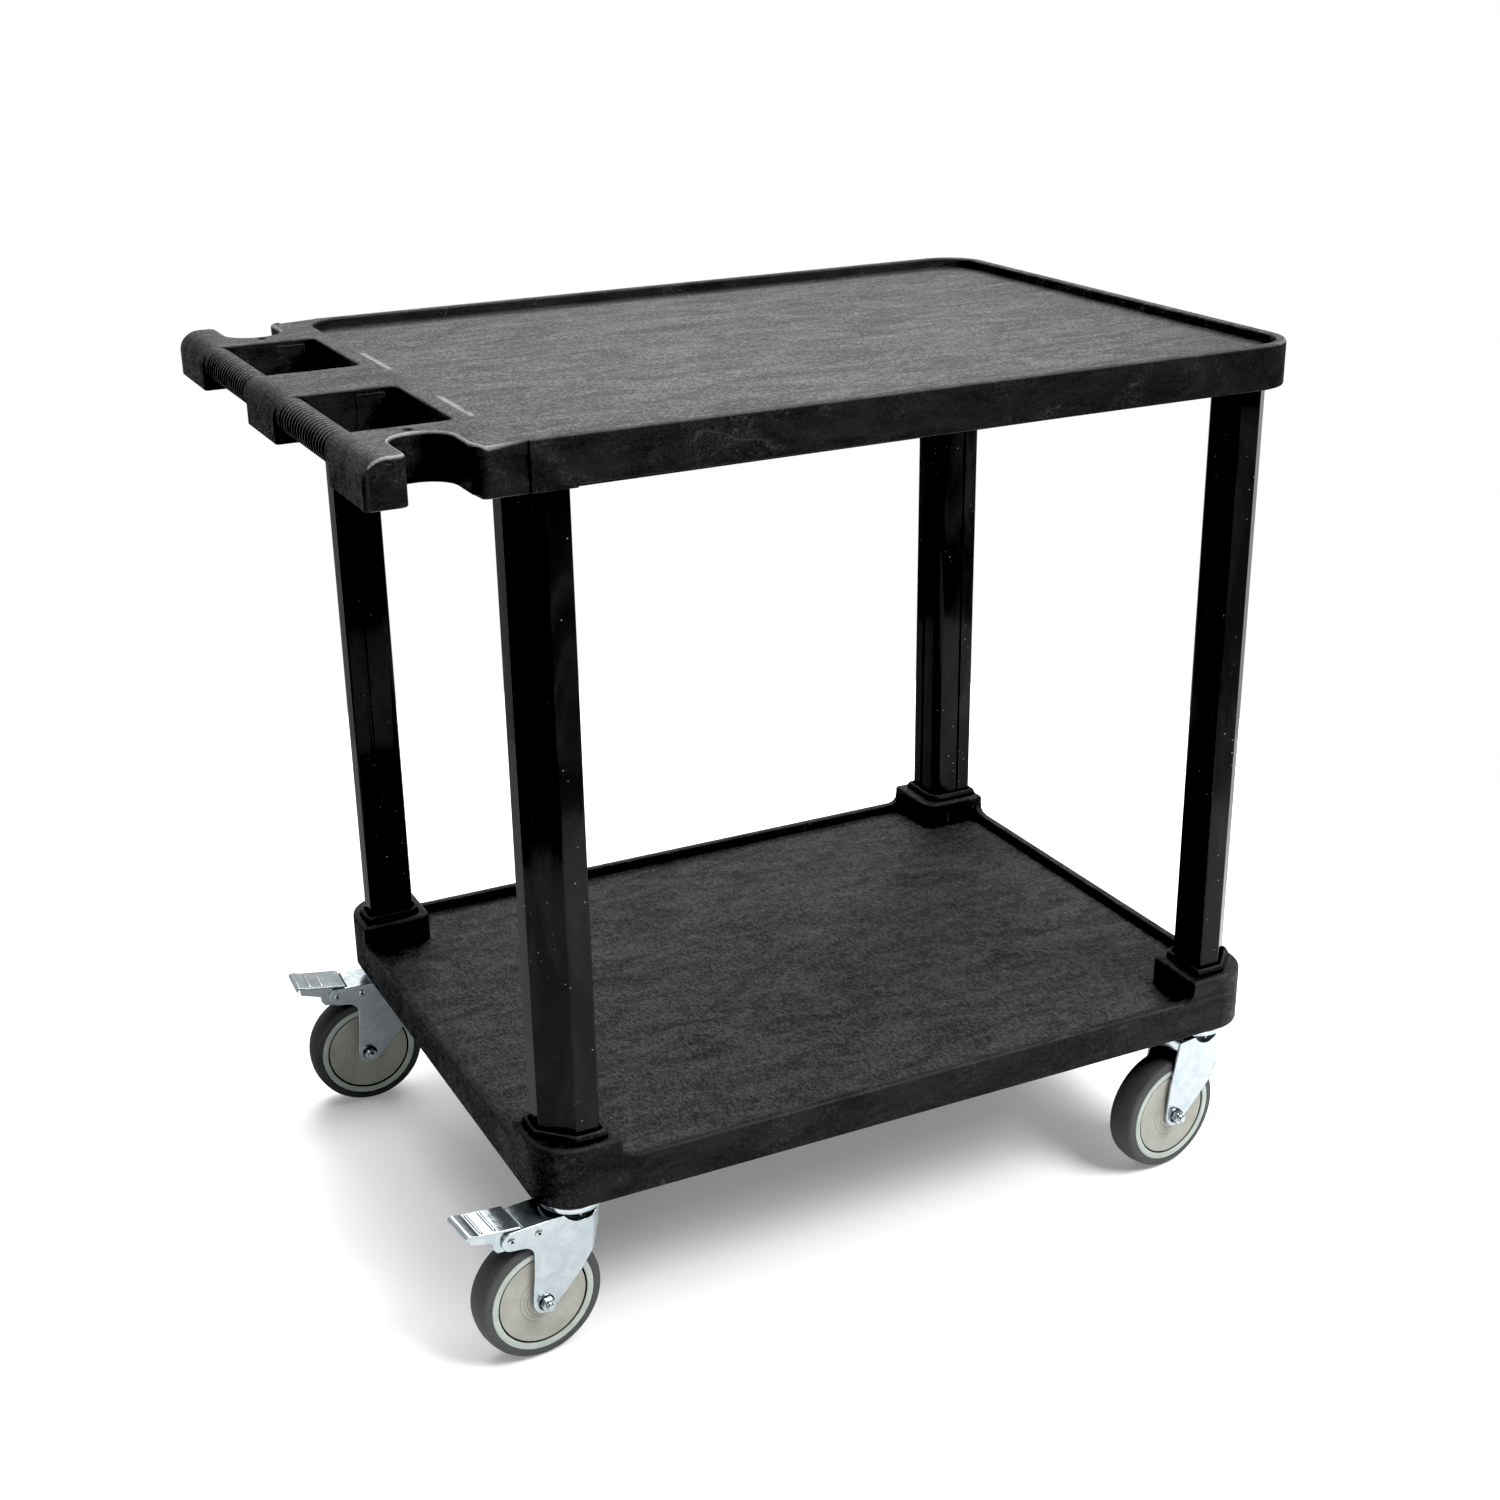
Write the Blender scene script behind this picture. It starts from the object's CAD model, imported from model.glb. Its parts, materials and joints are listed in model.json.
"""Visual model of a two-shelf rolling utility cart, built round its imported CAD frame.

Shapes are drawn in millimetres, on the CAD's own axes, and become metres when a mesh is made.
"""
import json
import math

import bmesh
import bpy
from mathutils import Matrix, Vector, geometry


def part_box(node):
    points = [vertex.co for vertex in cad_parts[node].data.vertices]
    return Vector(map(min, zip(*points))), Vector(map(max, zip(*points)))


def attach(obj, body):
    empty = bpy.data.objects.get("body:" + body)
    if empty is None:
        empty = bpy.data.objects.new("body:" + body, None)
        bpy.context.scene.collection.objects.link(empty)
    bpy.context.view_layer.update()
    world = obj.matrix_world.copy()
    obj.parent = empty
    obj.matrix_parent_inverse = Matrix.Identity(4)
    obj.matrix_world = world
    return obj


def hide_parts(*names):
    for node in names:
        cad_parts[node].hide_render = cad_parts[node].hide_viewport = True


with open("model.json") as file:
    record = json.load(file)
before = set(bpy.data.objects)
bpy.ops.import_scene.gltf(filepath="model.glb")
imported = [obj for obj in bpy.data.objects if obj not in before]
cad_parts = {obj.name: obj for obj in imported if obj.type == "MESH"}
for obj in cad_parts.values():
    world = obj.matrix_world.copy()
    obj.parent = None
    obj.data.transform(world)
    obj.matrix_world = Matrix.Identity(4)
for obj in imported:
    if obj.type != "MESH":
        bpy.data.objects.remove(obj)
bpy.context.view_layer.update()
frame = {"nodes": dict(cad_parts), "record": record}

MM = 0.001
CORNERS = ("front_left", "front_right", "rear_left", "rear_right")
JOINTS = {joint["name"]: joint for joint in frame["record"]["behaviour"]["joints"]}


def span(node):
    """Lowest and highest corner of a CAD node at rest, in millimetres."""
    low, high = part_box(node)
    return Vector(low) / MM, Vector(high) / MM


# ---------- sizes ----------
# Millimetres. The frame gives the outer sizes, and the other numbers repeat the CAD's own.

TOP_LOW, TOP_HIGH = span("top_shelf")
BOTTOM_LOW, BOTTOM_HIGH = span("bottom_shelf")
HANDLE_X = TOP_LOW.x
FRONT_X = TOP_HIGH.x
REAR_X = BOTTOM_LOW.x
SIDE_Y = TOP_HIGH.y
TOP_Z = TOP_HIGH.z
TOP_UNDER = TOP_LOW.z + 3  # foot of the skirts, which leg sockets and blocks reach below
BOTTOM_Z = BOTTOM_LOW.z
BOTTOM_TOP = BOTTOM_Z + 41
BOSS_Z = BOTTOM_Z + 62  # top of the bottom shelf's corner bosses
COLLAR_Z = BOTTOM_HIGH.z  # top of the collars round the legs
TRAY_DEEP = 11
FLOOR_T = 5
WALL_T = 5
LIP = 9.5  # width of the rim round a tray
LIP_ROUND = 2.5
TOP_R = 48
BOTTOM_R = 42
BOSS_W = 78
TRAY_REAR = REAR_X + 13
TRAY_R = 36
CAP_X1 = HANDLE_X + 37  # front of the handle's end caps
OPEN_X1 = REAR_X - 3  # front of the finger openings
GRIP_Y0 = 48
GRIP_Y1 = 208
GRIP_X = HANDLE_X + 17
GRIP_Z = TOP_Z - 17.5
GRIP_R = 15.5
HANDLE_R = 20
SCALLOP_Y = SIDE_Y - 70  # inner side of the cut between an end cap and its block
SCALLOP_R = 26
PIN_HOLE_Y = 224
BLOCK_X0 = REAR_X - 22  # rear of the blocks over the rear legs
BLOCK_IN = 1.5  # how far a block's side is inside the skirt's
BLOCK_R = 7
BLOCK_CORNER = 12
SEAM_X = REAR_X + 24  # front of the blocks
STEP_X = REAR_X + 64  # front of the deeper skirt
SKIRT_DROP = 2.8
BAR_HALF = 10
LEG_CHAMFER = 26.8
LEG_GAP = 0.15

WHEEL_R = 63.5
TRAIL = 42
CROWN_Z = BOTTOM_Z - 15  # top of a fork
SEAT_Z = BOTTOM_Z - 25  # bottom of the ball race in it
CHEEK_IN = 18
CHEEK_OUT = 21
PEDAL_PIVOT = (-73, CROWN_Z - 9)
SHOE_PIVOT = (-45, CROWN_Z - 10)


# ---------- outlines ----------

def arc(x, y, r, start, end, n):
    """Sharp corners along an arc from angle start to end, in degrees."""
    angles = [math.radians(start + (end - start) * k / n) for k in range(n + 1)]
    return [(x + r * math.cos(a), y + r * math.sin(a), 0) for a in angles]


def circle(x, y, r):
    """Corners of a circle as a square whose corners are all round."""
    c = r * 0.998
    return [(x - r, y - r, c), (x + r, y - r, c), (x + r, y + r, c), (x - r, y + r, c)]


def rectangle(x0, y0, x1, y1, r):
    """Corners of a rectangle, counter-clockwise, with r as one radius or four."""
    radii = r if isinstance(r, tuple) else (r, r, r, r)
    return [(x0, y0, radii[0]), (x1, y0, radii[1]), (x1, y1, radii[2]), (x0, y1, radii[3])]


def outline(corners, inset):
    """Points of a counter-clockwise outline of corners (x, y, radius), moved inwards by inset."""
    points = []
    for i, (x, y, r) in enumerate(corners):
        here = Vector((x, y))
        before = (here - Vector(corners[i - 1][:2])).normalized()
        after = (Vector(corners[(i + 1) % len(corners)][:2]) - here).normalized()
        side_a = Vector((-before.y, before.x))
        side_b = Vector((-after.y, after.x))
        corner = here + (side_a + side_b) * (inset / (1 + side_a.dot(side_b)))
        if r == 0:
            points.append(corner)
            continue
        left = 1 if before.x * after.y - before.y * after.x > 0 else -1
        radius = max(r - left * inset, 0.2)
        turn = math.acos(max(-1.0, min(1.0, before.dot(after))))
        start = corner - before * radius * math.tan(turn / 2)
        centre = start + side_a * radius * left
        steps = 3 + int(r / 4)
        for k in range(steps + 1):
            spin = Matrix.Rotation(left * turn * k / steps, 2)
            points.append(centre + spin @ (start - centre))
    return points


def upright(a, b, n=4):
    """Quarter curve in (inset, height, wear) from a to b, upright at a and level at b."""
    turns = [math.pi / 2 * k / n for k in range(n + 1)]
    return [(a[0] + (b[0] - a[0]) * (1 - math.cos(t)), a[1] + (b[1] - a[1]) * math.sin(t),
             math.sin(2 * t)) for t in turns]


def level(a, b, n=4):
    """Quarter curve in (inset, height, wear) from a to b, level at a and upright at b."""
    turns = [math.pi / 2 * k / n for k in range(n + 1)]
    return [(a[0] + (b[0] - a[0]) * math.sin(t), a[1] + (b[1] - a[1]) * (1 - math.cos(t)),
             math.sin(2 * t)) for t in turns]


def wear_of(step):
    """Wear of a step (x, height[, wear]), which is zero where the step doesn't say."""
    return step[2] if len(step) > 2 else 0.0


def faded(path, share=0.25):
    """The same path with only a share of its wear."""
    return [(step[0], step[1], share * wear_of(step)) for step in path]


# ---------- meshes ----------

class Shape:
    """A mesh under construction, in millimetres."""

    def __init__(self):
        self.verts = []
        self.faces = []
        self.wear = []

    def ring(self, points, wear=0.0):
        """Adds points and returns their indices."""
        start = len(self.verts)
        self.verts += [Vector(p) for p in points]
        self.wear += [wear] * len(points)
        return list(range(start, len(self.verts)))

    def bridge(self, a, b):
        """Quads between two closed rings of the same length."""
        for i in range(len(a)):
            j = (i + 1) % len(a)
            self.faces.append((a[i], a[j], b[j], b[i]))

    def skin(self, rings):
        """Quads from each ring to the next."""
        for a, b in zip(rings, rings[1:]):
            self.bridge(a, b)

    def wall(self, corners, path):
        """Sweeps an outline along path, of (inset, height[, wear]), and returns the end rings."""
        rings = []
        for step in path:
            points = [(p.x, p.y, step[1]) for p in outline(corners, step[0])]
            rings.append(self.ring(points, wear_of(step)))
        self.skin(rings)
        return rings[0], rings[-1]

    def pocket(self, corners, path):
        """Sweeps an outline to a closed end, and returns the ring at its open end."""
        first, last = self.wall(corners, path)
        self.fill([last])
        return first

    def tube(self, outer, outer_path, inner, inner_path):
        """Sweeps an outline and the hole in it, and closes both ends between them."""
        low, high = self.wall(outer, outer_path)
        inner_low, inner_high = self.wall(inner, inner_path)
        self.fill([low, inner_low])
        self.fill([high, inner_high])
        return self

    def fill(self, loops, seams=()):
        """Triangles inside the first loop and outside the others, with edges along the seams."""
        ids = [i for loop in loops for i in loop]
        height = self.verts[ids[0]].z
        edges = []
        start = 0
        for loop in loops:
            edges += [(start + k, start + (k + 1) % len(loop)) for k in range(len(loop))]
            start += len(loop)
        border = [(self.verts[ids[a]].to_2d(), self.verts[ids[b]].to_2d()) for a, b in edges]
        for a, b in seams:
            ids += self.ring([(*a, height), (*b, height)])
            edges.append((len(ids) - 2, len(ids) - 1))
        flat = [self.verts[i].to_2d() for i in ids]
        spots, _, triangles, sources, _, _ = geometry.delaunay_2d_cdt(flat, edges, [], 0, 1e-4)
        index = [ids[source[0]] if source else self.ring([(*spot, height)])[0]
                 for spot, source in zip(spots, sources)]
        for triangle in triangles:
            centre = sum((spots[k] for k in triangle), Vector((0, 0))) / 3
            crossed = sum(1 for a, b in border if (a.y > centre.y) != (b.y > centre.y)
                          and centre.x < a.x + (b.x - a.x) * (centre.y - a.y) / (b.y - a.y))
            if crossed % 2:
                self.faces.append(tuple(index[k] for k in triangle))

    def lathe(self, profile, segments, closed=True):
        """Adds a profile of (radius, height[, wear]) turned round Z; an open one gets flat ends."""
        rings = []
        for step in profile:
            angles = [2 * math.pi * k / segments for k in range(segments)]
            points = [(step[0] * math.cos(a), step[0] * math.sin(a), step[1]) for a in angles]
            rings.append(self.ring(points, wear_of(step)))
        self.skin(rings)
        if closed:
            self.bridge(rings[-1], rings[0])
        else:
            self.faces += [tuple(rings[0]), tuple(rings[-1])]
        return self

    def block(self, low, high, draft):
        """Box from low to high, whose lower end is narrower by draft on each side."""
        (x0, y0, z0), (x1, y1, z1) = low, high
        d = draft
        foot = self.ring([(x0 + d, y0 + d, z0), (x1 - d, y0 + d, z0),
                          (x1 - d, y1 - d, z0), (x0 + d, y1 - d, z0)])
        head = self.ring([(x0, y0, z1), (x1, y0, z1), (x1, y1, z1), (x0, y1, z1)])
        self.bridge(foot, head)
        self.faces += [tuple(foot), tuple(head)]

    def add(self, other, place=Matrix()):
        """Adds another shape, moved by the matrix place."""
        start = len(self.verts)
        self.verts += [place @ v for v in other.verts]
        self.wear += other.wear
        self.faces += [tuple(i + start for i in face) for face in other.faces]
        return self

    def reshape(self, move):
        """Replaces each point by move(point)."""
        self.verts = [move(v) for v in self.verts]
        return self


def plate(corners, z0, z1, edge, top_edge=None, holes=(), seams=()):
    """Plate with broken edges, drawn in XY, from height z0 to z1."""
    top = edge if top_edge is None else top_edge
    shape = Shape()
    side = level((edge, z0), (0, z0 + edge), 2) + upright((0, z1 - top), (top, z1), 3)
    first, last = shape.wall(corners, side)
    lower = [first]
    upper = [last]
    for hole in holes:
        small = min(edge, 0.3)
        a, b = shape.wall(hole, [(-small, z0), (0, z0 + small), (0, z1 - small), (-small, z1)])
        lower.append(a)
        upper.append(b)
    shape.fill(lower, seams)
    shape.fill(upper, seams)
    return shape


SHARP_ANGLE = math.radians(34)


def placed(name, data):
    """New object in the scene."""
    obj = bpy.data.objects.new(name, data)
    bpy.context.scene.collection.objects.link(obj)
    return obj


def piece(name, shape, body, node, finish, place=Matrix()):
    """Makes the mesh object, which stands for a CAD node and rides on its body.

    A finish is a slot's name and its material."""
    slot, material = finish
    matrix = Matrix.Scale(MM, 4) @ place
    mesh = bpy.data.meshes.new(name)
    mesh.from_pydata([matrix @ v for v in shape.verts], [], shape.faces)
    mesh.attributes.new("wear", "FLOAT", "POINT").data.foreach_set("value", shape.wear)
    welded = bmesh.new()
    welded.from_mesh(mesh)
    bmesh.ops.remove_doubles(welded, verts=welded.verts, dist=1e-6)
    loose = [v for v in welded.verts if not v.link_faces]
    bmesh.ops.delete(welded, geom=loose, context="VERTS")
    bmesh.ops.recalc_face_normals(welded, faces=welded.faces)
    welded.to_mesh(mesh)
    welded.free()
    mesh.polygons.foreach_set("use_smooth", [True] * len(mesh.polygons))
    mesh.set_sharp_from_angle(angle=SHARP_ANGLE)
    obj = placed(name, mesh)
    normals = obj.modifiers.new("normals", "WEIGHTED_NORMAL")
    normals.keep_sharp = True
    mesh.materials.append(material)
    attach(obj, body)
    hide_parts(node)


# ---------- materials ----------

class Nodes:
    """A node tree under construction."""

    def __init__(self, tree):
        self.tree = tree

    def node(self, kind, **settings):
        made = self.tree.nodes.new(kind)
        for key, value in settings.items():
            setattr(made, key, value)
        return made

    def link(self, a, b):
        self.tree.links.new(a, b)

    def remap(self, value, low, high, to_low=0.0, to_high=1.0):
        made = self.node("ShaderNodeMapRange", interpolation_type="SMOOTHSTEP")
        self.link(value, made.inputs["Value"])
        for key, number in zip(("From Min", "From Max", "To Min", "To Max"),
                               (low, high, to_low, to_high)):
            made.inputs[key].default_value = number
        return made.outputs["Result"]

    def surface(self, share, a, b, output):
        """Sends shader a, and a share of shader b, to the output node."""
        mixed = self.node("ShaderNodeMixShader")
        for value, socket in zip((share, a, b), mixed.inputs):
            self.link(value, socket)
        self.link(mixed.outputs["Shader"], self.tree.nodes[output].inputs["Surface"])


class Finish(Nodes):
    """A node material under construction."""

    def __init__(self, name):
        self.material = bpy.data.materials.new(name)
        self.material.use_nodes = True
        super().__init__(self.material.node_tree)
        self.shader = self.tree.nodes["Principled BSDF"]
        self.place = self.node("ShaderNodeTexCoord").outputs["Object"]

    def noise(self, scale, detail, rough=0.5, warp=0.0):
        """Noise of about `scale` features per metre, or (x, y, z) of them along the axes."""
        made = self.node("ShaderNodeTexNoise")
        place = self.place
        if isinstance(scale, tuple):
            mapping = self.node("ShaderNodeMapping")
            mapping.inputs["Scale"].default_value = scale
            self.link(place, mapping.inputs["Vector"])
            place = mapping.outputs["Vector"]
            scale = 1.0
        made.inputs["Scale"].default_value = scale
        made.inputs["Detail"].default_value = detail
        made.inputs["Roughness"].default_value = rough
        made.inputs["Distortion"].default_value = warp
        self.link(place, made.inputs["Vector"])
        return made.outputs["Fac"]

    def spots(self, scale):
        """Distance to the nearest of many scattered points."""
        made = self.node("ShaderNodeTexVoronoi")
        made.inputs["Scale"].default_value = scale
        self.link(self.place, made.inputs["Vector"])
        return made.outputs["Distance"]

    def math(self, operation, a, b):
        made = self.node("ShaderNodeMath", operation=operation)
        for socket, value in zip(made.inputs, (a, b)):
            if isinstance(value, (int, float)):
                socket.default_value = value
            else:
                self.link(value, socket)
        return made.outputs["Value"]

    def times(self, *factors):
        """Product of sockets and numbers."""
        product = factors[0]
        for factor in factors[1:]:
            product = self.math("MULTIPLY", product, factor)
        return product

    def away(self, value, centre=0.0):
        """How far a value is from centre, on either side."""
        return self.math("ABSOLUTE", self.math("SUBTRACT", value, centre), 0)

    def mix(self, amount, a, b):
        """Colour between a and b, each a colour or a socket."""
        made = self.node("ShaderNodeMix", data_type="RGBA")
        self.link(amount, made.inputs["Factor"])
        for key, value in (("A", a), ("B", b)):
            socket = [s for s in made.inputs if s.name == key and s.type == "RGBA"][0]
            if isinstance(value, tuple):
                socket.default_value = (*value, 1)
            else:
                self.link(value, socket)
        return [s for s in made.outputs if s.type == "RGBA"][0]

    def wear(self):
        """The mesh's wear, above zero on rubbed edges and below zero in crevices."""
        return self.node("ShaderNodeAttribute", attribute_name="wear").outputs["Fac"]

    def soil(self, strength):
        """Dirt in crevices, from 0 up to strength."""
        return self.remap(self.wear(), 0.0, -1.0, 0.0, strength)

    def rubbed(self):
        """1 on an edge that is rubbed pale."""
        return self.remap(self.wear(), 0.0, 1.0)

    def along(self, axis):
        """One object coordinate, in metres."""
        split = self.node("ShaderNodeSeparateXYZ")
        self.link(self.place, split.inputs["Vector"])
        return split.outputs[axis]

    def bump(self, *layers):
        """Layers of (height socket, distance in metres, strength)."""
        before = None
        for height, distance, strength in layers:
            made = self.node("ShaderNodeBump")
            made.inputs["Distance"].default_value = distance
            made.inputs["Strength"].default_value = strength
            self.link(height, made.inputs["Height"])
            if before:
                self.link(before, made.inputs["Normal"])
            before = made.outputs["Normal"]
        self.link(before, self.shader.inputs["Normal"])

    def colour(self, value):
        self.link(value, self.shader.inputs["Base Color"])

    def roughness(self, value):
        self.link(value, self.shader.inputs["Roughness"])

    def set(self, **values):
        for key, value in values.items():
            self.shader.inputs[key.replace("_", " ")].default_value = value


def shelf_plastic():
    """Black structural foam: flow streaks, fine grain, scratches, pale scuffs and rubbed edges."""
    f = Finish("shelf_plastic")
    streaks = f.noise((13, 36, 36), 6, 0.7, 1.1)
    dashes = f.noise((300, 150, 300), 3, 0.7, 0.5)
    grain = f.noise(1100, 2, 0.7)
    pits = f.noise((520, 230, 520), 3, 0.85)
    patches = f.noise(16, 5, 0.62, warp=1.2)
    marks = f.noise(150, 4, 0.7, 2.4)
    contour = f.away(f.noise(7, 2, 0.4, warp=0.6), 0.5)
    scratch = f.times(f.remap(contour, 0.004, 0.001), f.remap(patches, 0.52, 0.64))
    base = f.mix(f.remap(streaks, 0.34, 0.68), (0.002, 0.002, 0.0021), (0.009, 0.009, 0.0093))
    base = f.mix(f.remap(grain, 0.35, 0.75, 0.0, 0.5), base, (0.022, 0.022, 0.0225))
    # loads have rubbed the tray floors into a pale speckle
    height = f.along("Z")
    floors = [f.away(height, (z - TRAY_DEEP) * MM) for z in (TOP_Z, BOTTOM_TOP)]
    on_floor = f.remap(f.math("MINIMUM", *floors), 0.0015, 0.0005)
    ahead = f.away(f.along("X"), (REAR_X + FRONT_X) / 2 * MM)
    aside = f.away(f.along("Y"))
    for away, edge in ((ahead, (FRONT_X - REAR_X) / 2 - LIP), (aside, SIDE_Y - LIP)):
        on_floor = f.times(on_floor, f.remap(away, edge * MM, (edge - 2) * MM))
    speckle = f.times(f.remap(pits, 0.42, 0.6), f.remap(streaks, 0.3, 0.65, 0.25, 0.75))
    base = f.mix(f.times(speckle, on_floor), base, (0.05, 0.05, 0.05))
    scuffed = f.times(f.remap(patches, 0.45, 0.72), f.remap(marks, 0.48, 0.7))
    base = f.mix(f.times(scuffed, 0.6), base, (0.085, 0.085, 0.086))
    base = f.mix(f.times(scratch, 0.3), base, (0.07, 0.07, 0.07))
    # pale wear where loads are dragged over the top tray's rear edge
    band = f.away(f.along("X"), (TRAY_REAR + 16) * MM)
    breaks = f.noise((60, 13, 1), 4, 0.6)
    drag = f.times(f.remap(band, 0.0055, 0.002), f.remap(breaks, 0.33, 0.46),
                   f.remap(height, (TOP_Z - 15) * MM, (TOP_Z - 13) * MM),
                   f.remap(aside, 0.06, 0.075), f.remap(aside, 0.165, 0.15))
    base = f.mix(f.times(drag, 0.7), base, (0.16, 0.16, 0.16))
    rubbed = f.times(f.rubbed(), f.remap(patches, 0.25, 0.6, 0.4, 1.0))
    base = f.mix(f.times(rubbed, 0.7), base, (0.16, 0.16, 0.162))
    f.colour(f.mix(f.soil(0.8), base, (0.002, 0.002, 0.002)))
    rough = f.math("ADD", f.remap(streaks, 0.34, 0.7, 0.61, 0.46), f.remap(dashes, 0.35, 0.65, 0.1, -0.1))
    rough = f.math("ADD", rough, f.remap(pits, 0.38, 0.62, 0.09, -0.09))
    f.roughness(f.math("SUBTRACT", rough, f.times(rubbed, 0.32)))
    f.link(f.math("ADD", f.times(rubbed, 0.4), 0.14), f.shader.inputs["Specular IOR Level"])
    f.bump((patches, 0.0006, 0.35), (pits, 0.0014, 0.7))
    return f.material


def leg_plastic():
    """Glossy black extrusion with faint draw lines, dust specks and handling marks."""
    f = Finish("leg_plastic")
    lines = f.noise((420, 420, 2.5), 4, 0.6)
    smears = f.noise((24, 24, 7.2), 5, 0.6, 0.8)
    dust = f.times(f.remap(f.spots(150), 0.13, 0.05), f.remap(f.noise(60, 2), 0.53, 0.64))
    base = f.mix(f.remap(smears, 0.4, 0.8), (0.012, 0.012, 0.0122), (0.024, 0.024, 0.0245))
    f.colour(f.mix(f.times(dust, 0.8), base, (0.4, 0.4, 0.4)))
    f.roughness(f.math("ADD", f.remap(smears, 0.35, 0.8, 0.05, 0.17), f.times(dust, 0.4)))
    f.set(Specular_IOR_Level=0.07)
    f.bump((lines, 0.00012, 0.3), (smears, 0.0008, 0.22))
    return f.material


def zinc(name, shine):
    """Bluish zinc plate over pressed steel, whose roughness starts at shine."""
    f = Finish(name)
    spangle = f.noise(55, 4, 0.6, warp=0.8)
    fine = f.noise(700, 2, 0.6)
    stains = f.noise(20, 5, 0.65, warp=1.5)
    base = f.mix(f.remap(spangle, 0.3, 0.7), (0.36, 0.41, 0.435), (0.445, 0.49, 0.51))
    base = f.mix(f.remap(stains, 0.6, 0.8, 0.0, 0.45), base, (0.28, 0.325, 0.36))
    f.colour(f.mix(f.soil(0.96), base, (0.012, 0.012, 0.013)))
    f.roughness(f.math("ADD", f.remap(spangle, 0.3, 0.75, shine, shine + 0.1), f.soil(0.3)))
    f.set(Metallic=0.9)
    f.bump((stains, 0.0005, 0.15), (fine, 0.0001, 0.25))
    return f.material


def bearing_steel():
    """Ground steel with a film of grease."""
    f = Finish("bearing_steel")
    film = f.noise(120, 4, 0.6)
    f.colour(f.mix(f.remap(film, 0.35, 0.7), (0.5, 0.5, 0.5), (0.32, 0.3, 0.27)))
    f.roughness(f.remap(film, 0.3, 0.7, 0.18, 0.4))
    f.set(Metallic=0.95)
    f.bump((film, 0.0002, 0.2))
    return f.material


def bar_aluminium():
    """Mill-finish aluminium tube with drawing lines along its length."""
    f = Finish("bar_aluminium")
    lines = f.noise((4, 900, 900), 4, 0.6)
    clouds = f.noise(30, 3, 0.6)
    f.colour(f.mix(f.remap(clouds, 0.3, 0.7), (0.6, 0.61, 0.62), (0.74, 0.75, 0.76)))
    f.roughness(f.remap(lines, 0.3, 0.7, 0.28, 0.5))
    f.set(Metallic=0.95)
    f.bump((lines, 0.0001, 0.4))
    return f.material


def socket_nylon():
    """Dark nylon with a faint moulded mottle."""
    f = Finish("socket_nylon")
    mottle = f.noise(180, 4, 0.6)
    f.colour(f.mix(f.remap(mottle, 0.3, 0.7), (0.02, 0.02, 0.022), (0.045, 0.045, 0.048)))
    f.roughness(f.remap(mottle, 0.3, 0.7, 0.4, 0.6))
    f.bump((mottle, 0.0003, 0.3))
    return f.material


def guard_plastic():
    """Beige-grey plastic with fine dark flecks."""
    f = Finish("guard_plastic")
    flecks = f.remap(f.noise(1100, 2, 0.7), 0.5, 0.72)
    clouds = f.noise(45, 4, 0.6)
    base = f.mix(f.remap(clouds, 0.3, 0.7), (0.26, 0.26, 0.225), (0.33, 0.33, 0.29))
    base = f.mix(f.times(flecks, 0.5), base, (0.15, 0.15, 0.135))
    f.colour(f.mix(f.soil(0.85), base, (0.03, 0.029, 0.027)))
    f.roughness(f.remap(clouds, 0.3, 0.7, 0.42, 0.56))
    f.bump((f.noise(500, 3, 0.6), 0.0002, 0.3))
    return f.material


def rim_plastic():
    """Pale grey-green plastic."""
    f = Finish("rim_plastic")
    clouds = f.noise(60, 4, 0.6)
    base = f.mix(f.remap(clouds, 0.3, 0.7), (0.3, 0.345, 0.315), (0.38, 0.425, 0.39))
    f.colour(f.mix(f.soil(0.9), base, (0.02, 0.02, 0.019)))
    f.roughness(f.remap(clouds, 0.3, 0.7, 0.34, 0.5))
    f.bump((f.noise(600, 3, 0.6), 0.0002, 0.25))
    return f.material


def tread_rubber():
    """Matt grey rubber, dusty where it rolls."""
    f = Finish("tread_rubber")
    clouds = f.noise(40, 5, 0.65, warp=0.6)
    grain = f.noise(800, 2, 0.6)
    base = f.mix(f.remap(clouds, 0.3, 0.75), (0.035, 0.0355, 0.037), (0.055, 0.0555, 0.057))
    base = f.mix(f.remap(grain, 0.45, 0.8, 0.0, 0.4), base, (0.08, 0.08, 0.081))
    f.colour(base)
    f.roughness(f.remap(clouds, 0.3, 0.75, 0.6, 0.8))
    f.bump((clouds, 0.0004, 0.2), (grain, 0.0002, 0.4))
    return f.material


PLASTIC = ("shelf_plastic", shelf_plastic())
LEG = ("leg_plastic", leg_plastic())
ZINC = ("zinc_steel", zinc("zinc_steel", 0.17))
BRIGHT_ZINC = ("zinc_steel", zinc("bright_zinc_steel", 0.07))
STEEL = bearing_steel()
ALUMINIUM = bar_aluminium()
NYLON = socket_nylon()
GUARD = ("guard_plastic", guard_plastic())
RIM = ("rim_plastic", rim_plastic())
RUBBER = ("tread_rubber", tread_rubber())


# ---------- shelves ----------

def direction(corner):
    """+1 or -1 along X and Y for a corner's name."""
    return (1 if "front" in corner else -1, 1 if "left" in corner else -1)


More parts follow.
